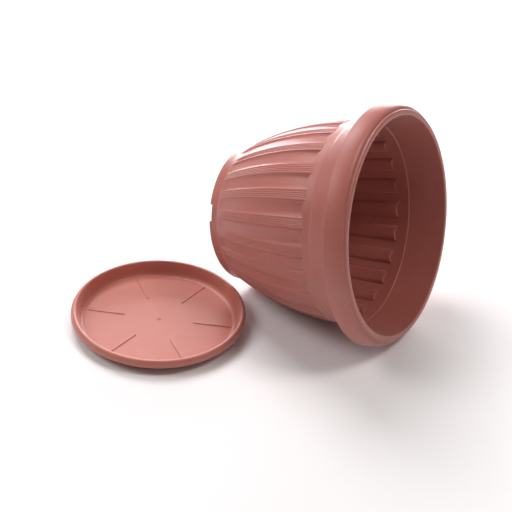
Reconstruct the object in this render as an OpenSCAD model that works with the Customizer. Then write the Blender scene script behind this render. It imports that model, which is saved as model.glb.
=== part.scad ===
// Fluted planter pot lying beside its drip saucer.
// Millimetres, +Z up, origin at the centre of the saucer's underside.

/* [Pot] */
// Height of the pot from foot to lip
pot_h = 224; // [180:1:270]
// Radius of the rim skirt's free edge, the widest circle
rim_r = 150; // [140:1:180]
// Largest radius of the bell-shaped body
body_r = 127; // [105:1:133]
// Radius of the body where it meets the foot ring
waist_r = 91.4; // [76:0.2:100]
// Step in from the body to the foot ring
foot_step = 1.2; // [0.4:0.1:3]
// Height of the foot ring
foot_h = 13; // [9:0.5:18]
// Thickness of the moulded wall
wall = 1.6; // [1.2:0.1:2.4]
// Thickness of the pot's floor
floor_t = 2.4; // [1.6:0.1:4]

/* [Rim] */
// Width of the rounded lip
lip_w = 7; // [5:0.1:9]
// Width of the shoulder from the lip out to the rim skirt's free edge
shoulder_w = 9.6; // [8.5:0.1:14]
// Height of the rim skirt from its free edge to the lip
rim_drop = 24.8; // [18:0.2:34]
// Distance of the ring line under the lip
ring_drop = 53; // [44:0.5:64]

/* [Flutes] */
// Number of flutes around the body
flute_n = 24; // [12:1:30]
// Radius of a flute's hollow section
flute_r = 30; // [20:1:45]
// Depth of a flute near its top
flute_depth = 2.45; // [1:0.05:3]
// Distance under the ring line of the lowest point of a flute's lobe
lobe_drop = 14.7; // [12:0.1:26]
// Radius of the lobe
lobe_r = 14.8; // [12:0.1:20]

/* [Foot] */
// Number of notches in the foot ring
notch_n = 4; // [2:1:8]
// Width of a notch
notch_w = 21; // [10:0.5:30]
// Height of a notch
notch_h = 3.5; // [2:0.1:8]
// Number of drain holes in the floor
drain_n = 8; // [3:1:12]
// Distance of the circle of drain holes in from the body's foot
drain_in = 27.4; // [14:0.2:50]
// Diameter of a drain hole
drain_d = 9; // [4:0.5:14]

/* [Saucer] */
// Outer radius of the saucer's lip
saucer_r = 110; // [102:0.5:135]
// Height of the saucer
saucer_h = 20.4; // [16:0.2:30]
// Height of the skirt turned down from the saucer's lip
saucer_drop = 8.7; // [5:0.1:11]
// Width of the saucer's sloping wall and lip, outside its flat floor
saucer_side = 16; // [14.5:0.5:21]
// Thickness of the saucer
saucer_t = 2; // [1.4:0.1:3]
// Number of raised ribs on the saucer's floor
rib_n = 6; // [3:1:12]
// Width of a rib
rib_w = 1.6; // [1:0.1:4]
// Height of a rib above the floor
rib_h = 0.7; // [0.4:0.1:2]
// Radius of the circle where the ribs start
rib_start_r = 44.2; // [15:0.2:70]
// Direction of the first rib, in degrees
rib_turn = 27; // [0:1:59]

/* [Placing] */
// Distance of the lying pot's foot centre from the saucer's edge
lie_away = 60.84; // [56:0.02:120]
// Direction of the lying pot's foot centre, in degrees from the mouth's direction
lie_turn = 83.38; // [60:0.02:100]

/* [Hidden] */
// Corner count of the round shapes
round_fn = 120;
// Straight pieces in the body's arc
arc_n = 9;
// Outer radius of the rounded lip
lip_r = rim_r - shoulder_w;
// Inner radius of the mouth
mouth_r = lip_r - lip_w;
// Outer radius of the foot ring
foot_r = waist_r - foot_step;
// Height of the ring line above the foot
ring_z = pot_h - ring_drop;
// Height of the lowest point of a flute's lobe
lobe_z = ring_z - lobe_drop;
// Radius of the circle of drain holes
drain_ring_r = waist_r - drain_in;
// Radius of the saucer's flat floor
saucer_floor_r = saucer_r - saucer_side;
// Gap between a rib's outer end and the edge of the saucer's floor
rib_gap = 0.9;
// Height of the middle of the body's arc, where the wall stands upright
arc_z = ring_z - 3;
// Radius of the body's meridian arc
arc_r = ((body_r - waist_r) ^ 2 + (arc_z - foot_h) ^ 2) / (2 * (body_r - waist_r));
// Distance of the arc's centre from the pot's axis
arc_x = body_r - arc_r;
// Height of the rim skirt's free edge
skirt_z = pot_h - rim_drop;
// Step in the wall at the ring line
ring_step = 1.3;
// Gap between the ledge inside and the ring line outside
ledge_rise = 4.5;
// Height of the ledge inside, where the plain band starts
ledge_z = ring_z + ledge_rise + 0.2;
// Height of the upper end of the plain band's inner face
band_top_z = pot_h - 2.6;
// Overlap that lets cutting shapes pass through a face
past = 1;

// Height of the deepest part of a flute
deep_z = ring_z - 21;
// Depth left where a flute ends above the foot ring
run_depth = 1.1;
// Gap between the foot ring and the lower end of a flute
run_gap = 4;
// Bend taken out of the flute's floor so that it gets shallower towards the foot
bend = (flute_depth - run_depth) / (deep_z - foot_h - run_gap) ^ 2;
// Radius of the flute floor's meridian arc
floor_arc_r = 1 / (1 / arc_r - 2 * bend);
// Slope of the body at the deepest part of a flute
deep_a = asin((deep_z - arc_z) / arc_r);
// Distance of the flute arc's centre from the pot's axis
floor_arc_x = arc_x + (arc_r - floor_arc_r) * cos(deep_a) - flute_depth;
// Height of the flute arc's centre
floor_arc_z = deep_z - floor_arc_r * sin(deep_a);
// Half width of a flute cutter
cutter_half = 11.9;
// Height of a flute cutter's section
cutter_h = 3.2;
// Height of a flute cutter's upper end, just past the lobe's points
cutter_top_z = lobe_z + 5.7;
// Height of the upper end of a flute's back
back_top_z = lobe_z + 9.3;
// Height of the lower end of a flute's back, under the pot's floor
back_low_z = foot_h - 5;

// Tilt of the pot's axis when its rim and the belly of its body touch the ground
belly_tilt = acos(arc_r / norm([rim_r - arc_x, skirt_z - arc_z])) - atan2(skirt_z - arc_z, rim_r - arc_x);
// Tilt of the pot's axis when its rim and its foot touch the ground
foot_tilt = atan2(rim_r - foot_r, skirt_z);
// Tilt of the lying pot's axis, from whichever touches first
tilt = min(belly_tilt, foot_tilt);
// Place of the lying pot's foot centre
lie_x = (saucer_r + lie_away) * cos(lie_turn);
lie_y = (saucer_r + lie_away) * sin(lie_turn);
lie_z = rim_r * cos(tilt) - skirt_z * sin(tilt);

// Point on the body's meridian arc, moved in by a wall's thickness
function body_pt(z, inset) = [
    arc_x + sqrt((arc_r - inset) ^ 2 - (z - arc_z) ^ 2),
    z
];

// Inner radius of the plain band, which flares from the body to the mouth
function band_r(z) = body_r + (mouth_r - body_r) * (z - ledge_z) / (band_top_z - ledge_z);

// Outside of the pot, from the foot up to the lip, including the skirt's inner face
function outer_points() = [
    [0, 0],
    [foot_r, 0],
    [foot_r + 0.6, foot_h - 0.2],
    for (i = [0 : arc_n]) body_pt(foot_h + 0.4 + (arc_z - foot_h - 0.4) * i / arc_n, 0),
    [body_r, ring_z - 0.6],
    [body_r + ring_step, ring_z + 0.2],
    [band_r(skirt_z + 6) + wall, skirt_z + 6],
    [mouth_r + wall, pot_h - 6.4],
    [mouth_r + wall + 1.2, pot_h - 5],
    [lip_r + 0.2, pot_h - 4.8],
    [rim_r - 7.2, pot_h - 6.2],
    [rim_r - 5.3, pot_h - 8.7],
    [rim_r - 4, pot_h - 12.2],
    [rim_r - 3, pot_h - 16.6],
    [rim_r - 2.2, skirt_z + 4],
    [rim_r - 1.8, skirt_z + 0.4],
    [rim_r - 1.2, skirt_z],
    [rim_r, skirt_z + 0.5],
    [rim_r - 0.4, pot_h - 20],
    [rim_r - 1.1, pot_h - 16],
    [rim_r - 2.1, pot_h - 11.5],
    [rim_r - 3.5, pot_h - 7.3],
    [rim_r - 5.7, pot_h - 4.4],
    [rim_r - 8.2, pot_h - 2.8],
    [lip_r + 0.5, pot_h - 2.4],
    [lip_r, pot_h - 1.4],
    [lip_r - 1.5, pot_h - 0.4],
    [lip_r - 3.5, pot_h],
    [mouth_r - 2, pot_h - 0.4],
    [0, pot_h - 0.4]
];

// Hollow of the pot, from its floor to above the lip
function inner_points() = [
    [0, foot_h + floor_t - 3],
    [waist_r - wall - 4, foot_h + floor_t - 3],
    [waist_r - wall - 0.6, foot_h + 3],
    for (i = [1 : arc_n]) body_pt(foot_h + 3 + (arc_z - foot_h - 3) * i / arc_n, wall),
    [body_r - wall, ledge_z - 0.8],
    [body_r, ledge_z],
    [mouth_r, band_top_z],
    [mouth_r + 0.4, pot_h - 1.2],
    [mouth_r + 1.8, pot_h + past],
    [0, pot_h + past]
];

// Flute-shaped strip that follows the body's meridian, with its rounded lobe end
module flute_strip(section_r, low_z, top_z, end_r) {
    low_a = asin((low_z - floor_arc_z) / floor_arc_r);
    high_a = asin((top_z - floor_arc_z) / floor_arc_r);
    inner_r = floor_arc_r + flute_r - section_r;
    difference() {
        translate([floor_arc_x, 0, floor_arc_z])
            rotate([90, 0, 0])
                rotate([0, 0, low_a])
                    rotate_extrude(angle = high_a - low_a)
                        intersection() {
                            translate([inner_r + section_r, 0])
                                circle(r = section_r);
                            translate([inner_r - past, -cutter_half])
                                square([cutter_h + past, 2 * cutter_half]);
                        }
        translate([body_r - 20, 0, lobe_z + lobe_r])
            rotate([0, 90, 0])
                cylinder(r = end_r, h = 40);
    }
}

// Hollow of the pot with the flutes' backs standing into it
module pot_hollow() {
    difference() {
        rotate_extrude() polygon(inner_points());
        for (k = [0 : flute_n - 1])
            rotate([0, 0, k * 360 / flute_n])
                flute_strip(flute_r + wall, back_low_z, back_top_z, lobe_r - wall);
    }
}

// Pot standing upright on its foot
module pot_upright() {
    difference() {
        rotate_extrude() polygon(outer_points());
        for (k = [0 : flute_n - 1])
            rotate([0, 0, k * 360 / flute_n])
                flute_strip(flute_r, foot_h + run_gap, cutter_top_z, lobe_r);
        pot_hollow();
        translate([0, 0, -past])
            cylinder(r = foot_r - 2.2, h = foot_h - 3 + past);
        for (k = [0 : notch_n - 1])
            rotate([0, 0, 67.5 + k * 360 / notch_n])
                translate([foot_r - 6, -notch_w / 2, -past])
                    cube([12, notch_w, notch_h + past]);
        for (k = [0 : drain_n - 1])
            rotate([0, 0, (k + 0.5) * 360 / drain_n])
                translate([drain_ring_r, 0, 0])
                    cylinder(d = drain_d, h = foot_h + floor_t);
    }
}

// Pot lying on its belly and rim, mouth towards +X, as it is at rest
module pot() {
    color([0.74, 0.40, 0.34])
        translate([lie_x, lie_y, lie_z])
            rotate([0, 90 - tilt, 0])
                rotate([0, 0, 90])
                    pot_upright($fn = round_fn);
}

// Section of the saucer: floor, coved wall, lip and the short skirt turned down from it
function saucer_points() = [
    [0, 0],
    [saucer_floor_r + 0.5, 0],
    [saucer_floor_r + 4.2, 1.5],
    [saucer_floor_r + 8, 6.2],
    [saucer_r - 6.4, saucer_h - 5],
    [saucer_r - 5.2, saucer_h - 2.6],
    [saucer_r - 3.6, saucer_h - 2.4],
    [saucer_r - 2.5, saucer_h - 4.4],
    [saucer_r - 1.9, saucer_h - saucer_drop + 0.3],
    [saucer_r - 1.3, saucer_h - saucer_drop],
    [saucer_r, saucer_h - saucer_drop + 0.5],
    [saucer_r - 0.4, saucer_h - 4.4],
    [saucer_r - 1.4, saucer_h - 1.6],
    [saucer_r - 2.8, saucer_h - 0.3],
    [saucer_r - 4.2, saucer_h],
    [saucer_r - 5.4, saucer_h - 0.3],
    [saucer_r - 6.3, saucer_h - 1.4],
    [saucer_r - 8.2, saucer_h - 6],
    [saucer_floor_r + 5.6, 7],
    [saucer_floor_r + 3, saucer_t + 1.4],
    [saucer_floor_r, saucer_t],
    [0, saucer_t]
];

// Drip saucer with ribs that hold the pot off the water
module saucer() {
    color([0.78, 0.44, 0.36])
        union() {
            rotate_extrude($fn = round_fn) polygon(saucer_points());
            for (k = [0 : rib_n - 1])
                rotate([0, 0, rib_turn + k * 360 / rib_n])
                    translate([rib_start_r, -rib_w / 2, saucer_t - past])
                        cube([saucer_floor_r - rib_gap - rib_start_r, rib_w, rib_h + past]);
        }
}

saucer();
pot();
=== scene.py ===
import math

import bmesh
import bpy
from mathutils import Matrix, Vector


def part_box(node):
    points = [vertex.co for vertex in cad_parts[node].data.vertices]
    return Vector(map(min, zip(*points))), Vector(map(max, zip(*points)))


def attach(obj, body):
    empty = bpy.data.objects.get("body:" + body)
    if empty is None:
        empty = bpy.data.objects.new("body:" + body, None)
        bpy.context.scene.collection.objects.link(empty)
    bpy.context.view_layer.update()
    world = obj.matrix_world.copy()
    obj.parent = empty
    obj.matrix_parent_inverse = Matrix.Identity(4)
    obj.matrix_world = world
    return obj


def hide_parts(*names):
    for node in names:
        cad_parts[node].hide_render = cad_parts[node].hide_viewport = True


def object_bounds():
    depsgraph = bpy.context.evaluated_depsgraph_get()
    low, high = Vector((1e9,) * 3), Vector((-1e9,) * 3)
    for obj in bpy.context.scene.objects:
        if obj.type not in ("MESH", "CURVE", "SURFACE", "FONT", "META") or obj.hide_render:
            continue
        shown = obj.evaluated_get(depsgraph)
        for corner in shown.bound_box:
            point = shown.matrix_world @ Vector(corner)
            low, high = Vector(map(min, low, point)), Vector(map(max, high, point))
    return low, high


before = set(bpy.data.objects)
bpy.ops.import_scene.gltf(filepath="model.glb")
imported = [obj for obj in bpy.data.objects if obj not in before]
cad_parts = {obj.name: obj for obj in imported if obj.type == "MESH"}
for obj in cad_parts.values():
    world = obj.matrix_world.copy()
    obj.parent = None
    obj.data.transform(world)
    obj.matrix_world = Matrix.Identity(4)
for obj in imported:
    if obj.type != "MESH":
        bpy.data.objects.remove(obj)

bl_info = {
    "name": "Planter pot and saucer",
    "version": (1, 0, 0),
    "blender": (4, 5, 0),
    "location": "View3D > Sidebar > Planter",
    "description": "Builds a fluted planter pot lying beside its drip saucer",
    "category": "Object",
}

CAD_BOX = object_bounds()
POT_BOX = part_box("pot")
SAUCER_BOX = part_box("saucer")

FULL_TURN = 2 * math.pi
# Columns of the wall's mesh in one pitch. Places run from the middle of a flute (0) to its edge (1),
# and from the flute's edge (0) to the middle of the reeds (1).
FLUTE_PLACES = (0, 0.30, 0.55, 0.75, 0.88, 0.96, 1)
REED_PLACES = (0, 0.1, 0.2, 0.4, 0.6, 0.8, 1)
GROOVES = (0.4, 0.8)
COLUMNS = 2 * (len(FLUTE_PLACES) + len(REED_PLACES) - 2)
# Heights of the mesh's rows round the step that ends a flute, in metres from the step
STEP_ROWS = (-0.0014, -0.0006, -0.0002, 0.0002, 0.0006, 0.0014)
# A flute's depth as a share of its stated depth: at the foot, what is added by the lobe, and the
# power of the height with which that comes in
LOW_DEPTH = 0.62
LOBE_DEPTH = 0.62
LOBE_DIVE = 4
# Distances below the step, in metres, where the wall's rows start and finish bending to the lobe
LOBE_BEND_START = 0.030
LOBE_BEND_END = 0.002
# Radial size of a foot notch's cutter and length of a drain hole's, in metres
NOTCH_CUTTER_DEPTH = 0.012
DRAIN_CUTTER_LENGTH = 0.02
# Points closer than this, in metres, are one point
MERGE_GAP = 2e-6
# Edges sharper than this angle, in degrees, stay crisp
SHARP_ANGLE = 32
# Each studio light: name, place, aim, width and height, watts, tint
LIGHTS = (
    ("overhead softbox", (-1.45, 0.95, 2.5), (0, 0.1, 0.1), (1.5, 1.5), 58, (1, 0.97, 0.985)),
    ("back panel", (-1.15, 2.3, 0.46), (0.05, 0.15, 0.2), (2.6, 0.8), 84, (1, 0.955, 0.995)),
    ("left softbox", (-1.7, -1.3, 2.3), (0.1, 0.1, 0.1), (1.3, 1.3), 34, (1, 0.97, 0.98)),
    ("side fill", (1.3, 0.5, 2.3), (0.27, 0.15, 0.05), (0.7, 0.7), 20, (1, 0.93, 0.89)),
)
WORLD_STRENGTH = 0.20
FLOOR_HALF_WIDTH = 30


def length(name, description, default):
    """A size in metres, shown with its unit."""
    return bpy.props.FloatProperty(
        name=name, description=description, default=default, unit="LENGTH", min=0
    )


def number(name, description, default):
    return bpy.props.IntProperty(name=name, description=description, default=default, min=1)


def share(name, description, default):
    return bpy.props.FloatProperty(
        name=name, description=description, default=default, min=0, max=1, subtype="FACTOR"
    )


def angle(name, description, default):
    return bpy.props.FloatProperty(
        name=name, description=description, default=math.radians(default), subtype="ANGLE"
    )


def colour(name, description, default):
    return bpy.props.FloatVectorProperty(
        name=name, description=description, default=default, size=3, subtype="COLOR", min=0, max=1
    )


class PotSizes(bpy.types.PropertyGroup):
    height: length("Height", "Foot to lip", 0.224)
    rim_radius: length("Rim radius", "Free edge of the rim skirt", POT_BOX[1].y / 2 - POT_BOX[0].y / 2)
    rim_drop: length("Rim drop", "Free edge of the rim skirt to the lip", 0.0248)
    lip_radius: length("Lip radius", "Outside of the rounded lip", 0.1404)
    mouth_radius: length("Mouth radius", "Inside of the lip", 0.1334)
    body_radius: length("Body radius", "Widest part of the bell-shaped body", 0.127)
    waist_radius: length("Waist radius", "Body where it meets the foot ring", 0.0914)
    foot_radius: length("Foot radius", "Outside of the foot ring", 0.0902)
    foot_height: length("Foot height", "Height of the foot ring", 0.013)
    wall: length("Wall", "Thickness of the moulded wall", 0.0016)
    floor_thickness: length("Floor", "Thickness of the pot's floor", 0.0024)
    ring_height: length("Ring line height", "Small step round the outside of the band", 0.171)
    ring_step: length("Ring step", "How far the band stands out above the ring line", 0.0013)
    ledge_rise: length("Ledge rise", "Inside ledge above the outside ring line", 0.0045)
    notch_count: number("Notches", "Notches in the foot ring", 4)
    notch_width: length("Notch width", "Width of a notch", 0.021)
    notch_height: length("Notch height", "Height of a notch", 0.0035)
    notch_turn: angle("Notch turn", "Direction of the first notch", 67.5)
    drain_count: number("Drain holes", "Holes in the floor", 8)
    drain_ring: length("Drain ring", "Radius of the ring of drain holes", 0.064)
    drain_radius: length("Drain radius", "Radius of a drain hole", 0.0045)


class FluteSizes(bpy.types.PropertyGroup):
    count: number("Flutes", "Flutes round the body", 24)
    flute_share: share("Flute share", "Part of each pitch that is flute; the rest is reeds", 0.64)
    depth: length("Flute depth", "Depth of a flute below the reeds", 0.0034)
    fade_height: length("Fade height", "Length over which a flute fades out above the foot", 0.011)
    floor_power: bpy.props.FloatProperty(
        name="Floor flatness", description="2 is a round floor; more is flatter", default=5, min=2
    )
    reed_depth: length("Reed depth", "Depth of the grooves between reeds", 0.00048)
    lobe_height: length("Lobe height", "Lowest point of the lobe that ends a flute", 0.1563)
    lobe_rise: length("Lobe rise", "Rise from the lobe's lowest point to its corners", 0.0049)
    reed_end: length("Reed end", "Height where the reeds end", 0.160)


class SaucerSizes(bpy.types.PropertyGroup):
    radius: length("Radius", "Free edge of the lip's skirt", 0.110)
    height: length("Height", "Underside to lip", SAUCER_BOX[1].z)
    drop: length("Lip drop", "Height of the skirt turned down from the lip", 0.0087)
    floor_radius: length("Floor radius", "Flat part of the floor", 0.094)
    thickness: length("Thickness", "Thickness of the moulding", 0.002)
    rib_count: number("Ribs", "Raised ribs on the floor", 6)
    rib_width: length("Rib width", "Width of a rib", 0.0024)
    rib_height: length("Rib height", "Height of a rib above the floor", 0.0009)
    rib_turn: angle("Rib turn", "Direction of the first rib", 27)
    gate_radius: length("Gate mark radius", "Moulding mark in the middle of the floor", 0.0045)


class PlasticLooks(bpy.types.PropertyGroup):
    pot: colour("Pot", "Terracotta plastic of the pot", (0.43, 0.130, 0.102))
    saucer: colour("Saucer", "Terracotta plastic of the saucer", (0.47, 0.142, 0.103))
    dust: colour("Bloom", "Pale bloom on the moulded skin", (0.66, 0.34, 0.30))
    roughness: share("Roughness", "Middle roughness of the skin", 0.42)
    bloom: share("Bloom amount", "How much of the bloom shows", 0.05)


class StageLooks(bpy.types.PropertyGroup):
    floor: colour("Floor", "Pale studio floor", (0.90, 0.90, 0.90))
    aim: bpy.props.FloatVectorProperty(
        name="Aim", description="Point the camera looks at", default=(0.0668, 0.1157, 0.0662),
        size=3, subtype="TRANSLATION", unit="LENGTH",
    )
    camera: bpy.props.FloatVectorProperty(
        name="Camera", description="Place of the camera", default=(0.5528, -0.7210, 0.6877),
        size=3, subtype="TRANSLATION", unit="LENGTH",
    )
    roll: angle("Roll", "Turn of the camera about its line of sight", -5.1)
    lens: bpy.props.FloatProperty(name="Lens", description="Focal length in millimetres", default=62.32)


GROUPS = {
    "planter_pot": PotSizes,
    "planter_flutes": FluteSizes,
    "planter_saucer": SaucerSizes,
    "planter_plastic": PlasticLooks,
    "planter_stage": StageLooks,
}


# ---------------------------------------------------------------- shader sockets


class Value:
    """A shader socket that takes part in Python arithmetic by adding Math nodes."""

    def __init__(self, tree, socket):
        self.tree = tree
        self.socket = socket

    def maths(self, operation, *others):
        inputs = dict(enumerate([self, *others]))
        return self.tree.node("ShaderNodeMath", {"operation": operation}, inputs)

    def __add__(self, other):
        return self.maths("ADD", other)

    def __radd__(self, other):
        return self.maths("ADD", other)

    def __mul__(self, other):
        return self.maths("MULTIPLY", other)

    def __rmul__(self, other):
        return self.maths("MULTIPLY", other)

    def between(self, low, high):
        """0 below low, 1 above high, smooth in between."""
        settings = {"interpolation_type": "SMOOTHSTEP"}
        return self.tree.node("ShaderNodeMapRange", settings, {"Value": self, 1: low, 2: high})


class Tree:
    """A material's node tree, with one method that adds any node."""

    def __init__(self, name):
        self.material = bpy.data.materials.new(name)
        self.material.use_nodes = True
        self.nodes = self.material.node_tree.nodes
        self.links = self.material.node_tree.links
        self.nodes.clear()

    def node(self, kind, settings=None, inputs=None, output=0):
        """Adds a node, sets it up, fills its sockets and returns one output as a Value."""
        made = self.nodes.new(kind)
        for key, setting in (settings or {}).items():
            setattr(made, key, setting)
        for key, given in (inputs or {}).items():
            self.fill(made.inputs[key], given)
        return Value(self, made.outputs[output]) if made.outputs else None

    def fill(self, socket, given):
        if isinstance(given, Value):
            self.links.new(given.socket, socket)
        else:
            socket.default_value = given

    def mix(self, factor, first, second):
        """Blend of two colours."""
        made = self.nodes.new("ShaderNodeMix")
        made.data_type = "RGBA"
        self.fill(made.inputs["Factor"], factor)
        self.fill(made.inputs[6], first)
        self.fill(made.inputs[7], second)
        return Value(self, made.outputs[2])

    def noise(self, place, scale, detail=3.0, roughness=0.5):
        """Even cloudy noise, 0 to 1."""
        inputs = {"Vector": place, "Scale": scale, "Detail": detail, "Roughness": roughness}
        return self.node("ShaderNodeTexNoise", None, inputs)


def solid(shade):
    return (*shade, 1.0)


def moulded_plastic(name, shade, looks, flow_scale):
    """Satin polypropylene: faint flow clouds, a pale bloom and a fine spark-eroded grain."""
    tree = Tree(name)
    place = tree.node("ShaderNodeTexCoord", output="Object")
    clouds = tree.noise(place, flow_scale, 4, 0.55)
    patches = tree.noise(place, flow_scale * 4.3, 3, 0.5)
    grain = tree.noise(place, 2600, 2, 0.6)
    specks = tree.noise(place, 420, 2, 0.5)

    deep = tuple(c * 0.95 for c in shade)
    base = tree.mix(clouds.between(0.30, 0.72), solid(deep), solid(shade))
    bloom = patches.between(0.42, 0.78) * looks.bloom + specks.between(0.68, 0.78) * 0.05
    base = tree.mix(bloom, base, solid(looks.dust))
    scuffs = specks.between(0.55, 0.8)
    rough = looks.roughness - 0.05 + clouds * 0.08 + scuffs * 0.10

    bump = tree.node(
        "ShaderNodeBump",
        None,
        {"Strength": 0.12, "Distance": 0.00025, "Height": grain * 0.7 + specks * 0.3},
    )
    shader = tree.node(
        "ShaderNodeBsdfPrincipled",
        None,
        {
            "Base Color": base,
            "Roughness": rough,
            "Normal": bump,
            "IOR": 1.49,
            "Specular IOR Level": 0.5,
            "Coat Weight": 0.0,
            "Sheen Weight": 0.16,
            "Sheen Roughness": 0.5,
        },
    )
    tree.node("ShaderNodeOutputMaterial", None, {"Surface": shader})
    return tree.material


# ---------------------------------------------------------------- mesh helpers


def new_object(name, mesh_builder, material):
    """Turns a finished bmesh into an object at the origin."""
    mesh = bpy.data.meshes.new(name)
    mesh_builder.to_mesh(mesh)
    mesh_builder.free()
    mesh.materials.append(material)
    made = bpy.data.objects.new(name, mesh)
    bpy.context.scene.collection.objects.link(made)
    return made


def arc(centre, radius, start, stop, steps):
    """Points (radius, height) on an arc; angles in degrees, 0 pointing outwards and 90 up."""
    points = []
    for i in range(steps + 1):
        turn = math.radians(start + (stop - start) * i / steps)
        points.append((centre[0] + radius * math.cos(turn), centre[1] + radius * math.sin(turn)))
    return points


def curve_through(points, steps):
    """Smooth Catmull-Rom curve through a few outline points."""
    ends = [points[0], *points, points[-1]]
    out = []
    for i in range(1, len(ends) - 2):
        before, here, there, after = ends[i - 1 : i + 3]
        for k in range(steps):
            t = k / steps
            out.append(
                tuple(
                    0.5
                    * (
                        2 * b
                        + (c - a) * t
                        + (2 * a - 5 * b + 4 * c - d) * t * t
                        + (3 * b - a - 3 * c + d) * t**3
                    )
                    for a, b, c, d in zip(before, here, there, after)
                )
            )
    out.append(points[-1])
    return out


def straight(first, last, steps):
    """Points between two outline points, without the last."""
    return [
        tuple(a + (b - a) * i / steps for a, b in zip(first, last))
        for i in range(steps)
    ]


def spin_slice(outline, sweep, steps):
    """Slice of a solid of revolution about +Z, from an outline of (radius, height) that
    starts and ends on the axis. It runs from -sweep / 2 to sweep / 2."""
    shape = bmesh.new()
    start = Matrix.Rotation(-sweep / 2, 3, "Z")
    verts = [shape.verts.new(start @ Vector((r, 0, z))) for r, z in outline]
    edges = [shape.edges.new(pair) for pair in zip(verts, verts[1:])]
    bmesh.ops.spin(
        shape,
        geom=verts + edges,
        cent=(0, 0, 0),
        axis=(0, 0, 1),
        angle=sweep,
        steps=steps,
        use_merge=False,
    )
    return shape


def repeat_slice(shape, count):
    """Copies a slice all the way round and closes the seams and the poles."""
    first = [*shape.verts, *shape.edges, *shape.faces]
    for k in range(1, count):
        copy = bmesh.ops.duplicate(shape, geom=first)["geom"]
        bmesh.ops.rotate(
            shape,
            cent=(0, 0, 0),
            matrix=Matrix.Rotation(k * FULL_TURN / count, 3, "Z"),
            verts=[part for part in copy if isinstance(part, bmesh.types.BMVert)],
        )
    bmesh.ops.remove_doubles(shape, verts=shape.verts, dist=MERGE_GAP)
    bmesh.ops.recalc_face_normals(shape, faces=shape.faces)


def smooth_step(value, low, high):
    t = min(max((value - low) / (high - low), 0), 1)
    return t * t * (3 - 2 * t)


def shade(made):
    """Smooth shading with true edges kept crisp."""
    made.data.shade_smooth()
    made.data.set_sharp_from_angle(angle=math.radians(SHARP_ANGLE))


# ---------------------------------------------------------------- saucer


def saucer_outline(s):
    """Floor, coved wall, rounded lip and the short skirt turned down from it."""
    top, edge = s.height, s.radius
    low = top - s.drop
    under = straight((0, 0), (s.floor_radius, 0), 3)
    outside = curve_through(
        [
            (s.floor_radius, 0),
            (s.floor_radius + 0.0042, 0.0013),
            (s.floor_radius + 0.0078, 0.0060),
            (edge - 0.0064, top - 0.0050),
            (edge - 0.0054, top - 0.0028),
            (edge - 0.0038, top - 0.0024),
            (edge - 0.0025, top - 0.0044),
            (edge - 0.0019, low + 0.0004),
        ],
        5,
    )
    skirt = curve_through(
        [
            (edge - 0.0014, low),
            (edge - 0.0004, low + 0.0001),
            (edge, low + 0.0008),
            (edge - 0.0004, top - 0.0044),
            (edge - 0.0014, top - 0.0017),
            (edge - 0.0028, top - 0.0003),
            (edge - 0.0042, top),
            (edge - 0.0054, top - 0.0003),
            (edge - 0.0063, top - 0.0014),
            (edge - 0.0082, top - 0.0060),
            (s.floor_radius + 0.0056, 0.0070),
            (s.floor_radius + 0.0030, s.thickness + 0.0013),
            (s.floor_radius, s.thickness),
        ],
        5,
    )
    floor = straight((s.floor_radius - 0.002, s.thickness), (0, s.thickness), 3)
    return under + outside + skirt + floor + [(0, s.thickness)]


def add_rib(shape, s, turn):
    """One raised rib, rounded on top, from the middle of the floor to the foot of the wall."""
    start, stop = s.floor_radius * 0.47, s.floor_radius * 0.985
    sunk = s.thickness / 2
    size = Vector((stop - start, s.rib_width, s.rib_height + sunk))
    middle = Vector(((start + stop) / 2, 0, s.thickness - sunk + size.z / 2))
    made = bmesh.ops.create_cube(shape, size=1)["verts"]
    bmesh.ops.scale(shape, vec=size, verts=made)
    edges = {e for v in made for e in v.link_edges if all(x.co.z > 0 for x in e.verts)}
    rounded = bmesh.ops.bevel(
        shape,
        geom=list(edges),
        offset=s.rib_height * 0.6,
        offset_type="OFFSET",
        segments=3,
        profile=0.5,
        affect="EDGES",
        material=-1,
    )
    kept = {v for v in [*made, *rounded["verts"]] if v.is_valid}
    bmesh.ops.translate(shape, vec=middle, verts=list(kept))
    bmesh.ops.rotate(shape, cent=(0, 0, 0), matrix=Matrix.Rotation(turn, 3, "Z"), verts=list(kept))


def add_gate_mark(shape, s):
    """Small low pip where the plastic entered the mould, in a shallow ring."""
    for radius, height in ((s.gate_radius, 0.00035), (0.0012, 0.0008)):
        made = bmesh.ops.create_cone(
            shape,
            cap_ends=True,
            cap_tris=False,
            segments=40,
            radius1=radius,
            radius2=radius * 0.72,
            depth=height + s.thickness / 2,
        )["verts"]
        lift = s.thickness / 2 + (height + s.thickness / 2) / 2
        bmesh.ops.translate(shape, vec=(0, 0, lift), verts=made)


class PLANTER_OT_saucer(bpy.types.Operator):
    """Makes the drip saucer"""

    bl_idname = "planter.saucer"
    bl_label = "Saucer"

    def execute(self, context):
        s = context.scene.planter_saucer
        looks = context.scene.planter_plastic
        shape = spin_slice(saucer_outline(s), FULL_TURN / 24, 12)
        repeat_slice(shape, 24)
        for k in range(s.rib_count):
            add_rib(shape, s, s.rib_turn + k * FULL_TURN / s.rib_count)
        add_gate_mark(shape, s)
        plastic = moulded_plastic("saucer plastic", looks.saucer, looks, 9)
        saucer = new_object("saucer_moulding", shape, plastic)
        shade(saucer)
        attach(saucer, "saucer")
        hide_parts("saucer")
        return {"FINISHED"}


# ---------------------------------------------------------------- pot


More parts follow.
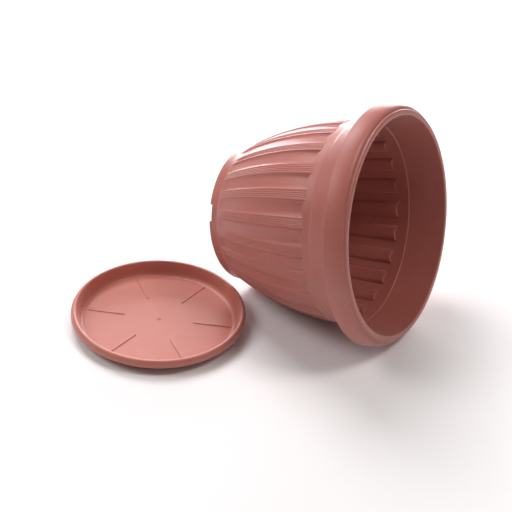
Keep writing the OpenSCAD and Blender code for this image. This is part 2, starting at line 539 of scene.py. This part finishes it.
class Bell:
    """Meridian of the bell-shaped body: one arc that stands upright under the ring line."""

    def __init__(self, p):
        self.foot = p.foot_height
        self.top = p.ring_height - 0.003
        spread = p.body_radius - p.waist_radius
        self.bend = (spread**2 + (self.top - self.foot) ** 2) / (2 * spread)
        self.offset = p.body_radius - self.bend

    def radius(self, z, inset=0.0):
        rise = min(z, self.top) - self.top
        return self.offset + math.sqrt((self.bend - inset) ** 2 - rise**2)

    def outline(self, low, high, inset, steps):
        return [
            (self.radius(low + (high - low) * i / steps, inset), low + (high - low) * i / steps)
            for i in range(steps + 1)
        ]


def pot_outline(p, bell, f):
    """Closed outline of the pot's wall: up the outside, round the rim and down the inside."""
    top, edge = p.height, p.rim_radius
    skirt = top - p.rim_drop
    lobe_rows = f.lobe_height + f.lobe_rise
    foot_inner = p.foot_radius - 0.0022
    floor_low = p.foot_height - 0.003
    floor_top = floor_low + p.floor_thickness

    under = [(0, floor_low), (foot_inner * 0.4, floor_low), (foot_inner - 0.002, floor_low)]
    under += arc((foot_inner - 0.001, floor_low - 0.001), 0.001, 90, 0, 2)
    foot = arc((foot_inner + 0.0005, 0.0005), 0.0005, 180, 270, 2)
    foot += arc((p.foot_radius - 0.0006, 0.0006), 0.0006, 270, 360, 3)
    foot += [
        (p.foot_radius + 0.0003, p.foot_height * 0.5),
        (p.foot_radius + 0.0006, p.foot_height - 0.0006),
        (p.foot_radius + 0.0008, p.foot_height - 0.0002),
        (bell.radius(p.foot_height) - 0.0003, p.foot_height),
        (bell.radius(p.foot_height + 0.0003), p.foot_height + 0.0004),
    ]
    body = bell.outline(p.foot_height + 0.0015, lobe_rows - 0.0025, 0, 26)
    step = [(bell.radius(lobe_rows + rise), lobe_rows + rise) for rise in STEP_ROWS]
    band = bell.outline(lobe_rows + 0.0030, p.ring_height - 0.0008, 0, 2)
    band_out = p.body_radius + p.ring_step
    band += [
        (p.body_radius + 0.0002, p.ring_height - 0.0003),
        (band_out - 0.0002, p.ring_height + 0.0001),
        (band_out + 0.0001, p.ring_height + 0.0006),
    ]
    roof = p.mouth_radius + p.wall
    band += straight((band_out + 0.0002, p.ring_height + 0.002), (roof - 0.0004, top - 0.009), 4)
    inside_skirt = curve_through(
        [
            (roof, top - 0.0064),
            (roof + 0.0014, top - 0.0050),
            (p.lip_radius + 0.0004, top - 0.0048),
            (edge - 0.0071, top - 0.0062),
            (edge - 0.0053, top - 0.0087),
            (edge - 0.0040, top - 0.0122),
            (edge - 0.0030, top - 0.0166),
            (edge - 0.0020, skirt + 0.0006),
        ],
        2,
    )
    free_edge = arc((edge - 0.0010, skirt + 0.0009), 0.0009, 190, 355, 4)
    rim = curve_through(
        [
            (edge - 0.0001, skirt + 0.0022),
            (edge - 0.0011, top - 0.0160),
            (edge - 0.0023, top - 0.0112),
            (edge - 0.0039, top - 0.0070),
            (edge - 0.0060, top - 0.0043),
            (edge - 0.0082, top - 0.0030),
            (p.lip_radius + 0.0006, top - 0.0027),
        ],
        3,
    )
    lip = [
        (p.lip_radius + 0.0002, top - 0.0025),
        (p.lip_radius + 0.0001, top - 0.0019),
    ]
    lip += arc((p.lip_radius - 0.0014, top - 0.0015), 0.0014, 0, 78, 4)
    lip += [(p.lip_radius - 0.0035, top)]
    lip += arc((p.mouth_radius + 0.0018, top - 0.0018), 0.0018, 90, 185, 5)
    ledge = p.ring_height + p.ledge_rise
    mouth_end = (p.mouth_radius - 0.0002, top - 0.0035)
    inside = straight(mouth_end, (p.body_radius + 0.0001, ledge + 0.0006), 5)
    inner = p.body_radius - p.wall
    inside += [
        (p.body_radius, ledge + 0.0003),
        (p.body_radius - 0.0003, ledge),
        (inner + 0.0003, ledge - 0.0003),
        (inner, ledge - 0.0007),
    ]
    back_rows = lobe_rows + p.wall
    inside += bell.outline(back_rows + 0.0040, back_rows + 0.0018, p.wall, 1)
    inside += [(bell.radius(back_rows + rise, p.wall), back_rows + rise) for rise in STEP_ROWS[::-1]]
    inside += bell.outline(back_rows - 0.0030, p.foot_height + 0.004, p.wall, 22)
    corner = bell.radius(p.foot_height + 0.004, p.wall)
    inside += [
        (corner - 0.0010, floor_top + 0.0014),
        (corner - 0.0026, floor_top + 0.0002),
        (corner - 0.0050, floor_top),
        (foot_inner * 0.6, floor_top),
        (0, floor_top),
    ]
    return under + foot + body + step + band + inside_skirt + free_edge + rim + lip + inside


def pitch_place(column, f):
    """Where a column stands in its pitch, with the flute in the middle and half the reeds each side.
    Returns the angle as a part of the pitch, and the place across the flute and in the reeds, one of
    which is None."""
    half_flute = f.flute_share / 2
    step = abs(column)
    reach = len(FLUTE_PLACES) - 1
    if step <= reach:
        across = math.copysign(FLUTE_PLACES[step], column)
        return across * half_flute, across, None
    along = REED_PLACES[step - reach]
    part = half_flute + along * (0.5 - half_flute)
    return math.copysign(part, column), None, along


class PLANTER_OT_pot(bpy.types.Operator):
    """Makes the fluted pot, lying on its belly and rim"""

    bl_idname = "planter.pot"
    bl_label = "Pot"

    def execute(self, context):
        p = context.scene.planter_pot
        f = context.scene.planter_flutes
        looks = context.scene.planter_plastic
        bell = Bell(p)
        shape = spin_slice(pot_outline(p, bell, f), FULL_TURN / f.count, COLUMNS)
        flute_wall(shape, p, f, bell)
        repeat_slice(shape, f.count)
        lay_down(shape, p, bell)
        plastic = moulded_plastic("pot plastic", looks.pot, looks, 7)
        pot = new_object("pot_moulding", shape, plastic)
        cut_openings(pot, p, bell)
        shade(pot)
        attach(pot, "pot")
        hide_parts("pot")
        return {"FINISHED"}


def flute_wall(shape, p, f, bell):
    """Moves the plain wall's points into flutes, reeds and lobes, inside and out."""
    pitch = FULL_TURN / f.count
    corner = f.lobe_height + f.lobe_rise
    low = p.foot_height + 0.0002
    high = p.ring_height - 0.0004
    for vert in shape.verts:
        radius = math.hypot(vert.co.x, vert.co.y)
        z = vert.co.z
        if radius < 1e-5:
            continue
        column = round(math.atan2(vert.co.y, vert.co.x) / pitch * COLUMNS)
        part, across, reeds = pitch_place(column, f)
        turn = part * pitch
        inside = radius < bell.radius(z) - p.wall / 2
        top = high + (p.ledge_rise if inside else 0)
        if low < z < top and radius > bell.radius(z) - p.wall - 0.0002:
            step_row = corner + (p.wall if inside else 0)
            if across is not None:
                droop = -f.lobe_rise * math.sqrt(max(1 - across * across, 0))
            else:
                droop = (f.reed_end - corner) * min(reeds / REED_PLACES[1], 1)
            pull = smooth_step(z, step_row - LOBE_BEND_START, step_row - LOBE_BEND_END)
            pull *= 1 - smooth_step(z, step_row + 0.001, top)
            under_step = 1 if z < step_row else 0
            fade = smooth_step(z, p.foot_height + 0.001, p.foot_height + f.fade_height)
            radius += bell.radius(z + droop * pull) - bell.radius(z)
            if across is not None:
                floor = 1 - abs(across) ** f.floor_power
                depth = f.depth * (LOW_DEPTH + LOBE_DEPTH * (z / corner) ** LOBE_DIVE)
                radius -= depth * floor * fade * under_step
            elif not inside and reeds in GROOVES:
                radius -= f.reed_depth * fade * under_step
            z += droop * pull
        vert.co = Vector((radius * math.cos(turn), radius * math.sin(turn), z))


def lying_place(p, bell):
    """Turn and move that lay the upright pot on its belly and rim, mouth towards +X."""
    rim_out = p.rim_radius - bell.offset
    rim_up = p.height - p.rim_drop - bell.top
    tilt = math.acos(bell.bend / math.hypot(rim_out, rim_up)) - math.atan2(rim_up, rim_out)
    lift = p.rim_radius * math.cos(tilt) - (p.height - p.rim_drop) * math.sin(tilt)
    foot = Vector(
        (
            POT_BOX[0].x + p.foot_radius * math.sin(tilt),
            (POT_BOX[0].y + POT_BOX[1].y) / 2,
            lift,
        )
    )
    turn = Matrix.Rotation(math.pi / 2 - tilt, 4, "Y") @ Matrix.Rotation(math.pi / 2, 4, "Z")
    return Matrix.Translation(foot) @ turn


def lay_down(shape, p, bell):
    bmesh.ops.transform(shape, matrix=lying_place(p, bell), verts=shape.verts)


def cut_openings(pot, p, bell):
    """Cuts the notches in the foot ring and the drain holes in the floor."""
    cutters = bmesh.new()
    for k in range(p.notch_count):
        made = bmesh.ops.create_cube(cutters, size=1)["verts"]
        size = (NOTCH_CUTTER_DEPTH, p.notch_width, p.notch_height * 2)
        bmesh.ops.scale(cutters, vec=size, verts=made)
        bmesh.ops.translate(cutters, vec=(p.foot_radius, 0, 0), verts=made)
        turn = p.notch_turn + k * FULL_TURN / p.notch_count
        bmesh.ops.rotate(cutters, cent=(0, 0, 0), matrix=Matrix.Rotation(turn, 3, "Z"), verts=made)
    for k in range(p.drain_count):
        made = bmesh.ops.create_cone(
            cutters,
            cap_ends=True,
            segments=40,
            radius1=p.drain_radius,
            radius2=p.drain_radius,
            depth=DRAIN_CUTTER_LENGTH,
        )["verts"]
        turn = (k + 0.5) * FULL_TURN / p.drain_count
        place = (p.drain_ring * math.cos(turn), p.drain_ring * math.sin(turn), p.foot_height)
        bmesh.ops.translate(cutters, vec=place, verts=made)
    lay_down(cutters, p, bell)
    tool = new_object("opening cutters", cutters, pot.data.materials[0])
    cut = pot.modifiers.new("openings", "BOOLEAN")
    cut.operation = "DIFFERENCE"
    cut.solver = "MANIFOLD"
    cut.object = tool
    bpy.context.view_layer.update()
    ready = pot.evaluated_get(bpy.context.evaluated_depsgraph_get())
    finished = bpy.data.meshes.new_from_object(ready)
    if not finished.polygons:
        raise RuntimeError("cutting the notches and drain holes left no pot")
    pot.modifiers.clear()
    pot.data = finished
    bpy.data.objects.remove(tool)


# ---------------------------------------------------------------- stage


def add_light(name, place, aim, size, power, tint):
    data = bpy.data.lights.new(name, "AREA")
    data.shape = "RECTANGLE"
    data.size, data.size_y = size
    data.energy = power
    data.color = tint
    lamp = bpy.data.objects.new(name, data)
    lamp.location = place
    lamp.rotation_euler = (Vector(aim) - Vector(place)).to_track_quat("-Z", "Y").to_euler()
    bpy.context.scene.collection.objects.link(lamp)
    return lamp


class PLANTER_OT_stage(bpy.types.Operator):
    """Makes the pale floor, the soft lights and the camera"""

    bl_idname = "planter.stage"
    bl_label = "Stage"

    def execute(self, context):
        looks = context.scene.planter_stage
        shape = bmesh.new()
        bmesh.ops.create_grid(shape, x_segments=1, y_segments=1, size=FLOOR_HALF_WIDTH)
        bmesh.ops.translate(shape, vec=(0, 0, CAD_BOX[0].z), verts=shape.verts)
        tree = Tree("studio_floor")
        place = tree.node("ShaderNodeTexCoord", output="Object")
        mottle = tree.noise(place, 3, 3, 0.5)
        paint = tree.mix(mottle, solid(looks.floor), solid([c * 1.02 for c in looks.floor]))
        shader = tree.node("ShaderNodeBsdfPrincipled", None, {"Base Color": paint, "Roughness": 0.9})
        tree.node("ShaderNodeOutputMaterial", None, {"Surface": shader})
        floor = new_object("studio_floor", shape, tree.material)
        lamps = [add_light(*light) for light in LIGHTS]
        world = bpy.data.worlds.new("studio")
        world.use_nodes = True
        world.node_tree.nodes["Background"].inputs["Color"].default_value = (1, 1, 1, 1)
        world.node_tree.nodes["Background"].inputs["Strength"].default_value = WORLD_STRENGTH
        context.scene.world = world
        context.scene.view_settings.view_transform = "Standard"

        data = bpy.data.cameras.new("camera")
        data.lens = looks.lens
        data.clip_start = 0.01
        camera = bpy.data.objects.new("camera", data)
        sight = Vector(looks.aim) - Vector(looks.camera)
        turn = sight.to_track_quat("-Z", "Y").to_matrix().to_4x4()
        camera.matrix_world = (
            Matrix.Translation(looks.camera) @ turn @ Matrix.Rotation(-looks.roll, 4, "Z")
        )
        context.scene.collection.objects.link(camera)
        context.scene.camera = camera
        return {"FINISHED"}


class PLANTER_PT_panel(bpy.types.Panel):
    """Lists the makers in the 3D view's sidebar"""

    bl_idname = "PLANTER_PT_panel"
    bl_label = "Planter pot and saucer"
    bl_space_type = "VIEW_3D"
    bl_region_type = "UI"
    bl_category = "Planter"

    def draw(self, context):
        for maker in MAKERS:
            self.layout.operator(maker.bl_idname)
        for name, group in GROUPS.items():
            box = self.layout.box()
            for field in group.__annotations__:
                box.prop(getattr(context.scene, name), field)


MAKERS = (PLANTER_OT_saucer, PLANTER_OT_pot, PLANTER_OT_stage)
CLASSES = (*GROUPS.values(), *MAKERS, PLANTER_PT_panel)


def register():
    for cls in CLASSES:
        bpy.utils.register_class(cls)
    for name, group in GROUPS.items():
        setattr(bpy.types.Scene, name, bpy.props.PointerProperty(type=group))


def unregister():
    for name in GROUPS:
        delattr(bpy.types.Scene, name)
    for cls in reversed(CLASSES):
        bpy.utils.unregister_class(cls)


def main():
    register()
    bpy.ops.planter.saucer()
    bpy.ops.planter.pot()
    bpy.ops.planter.stage()


if __name__ == "__main__":
    main()
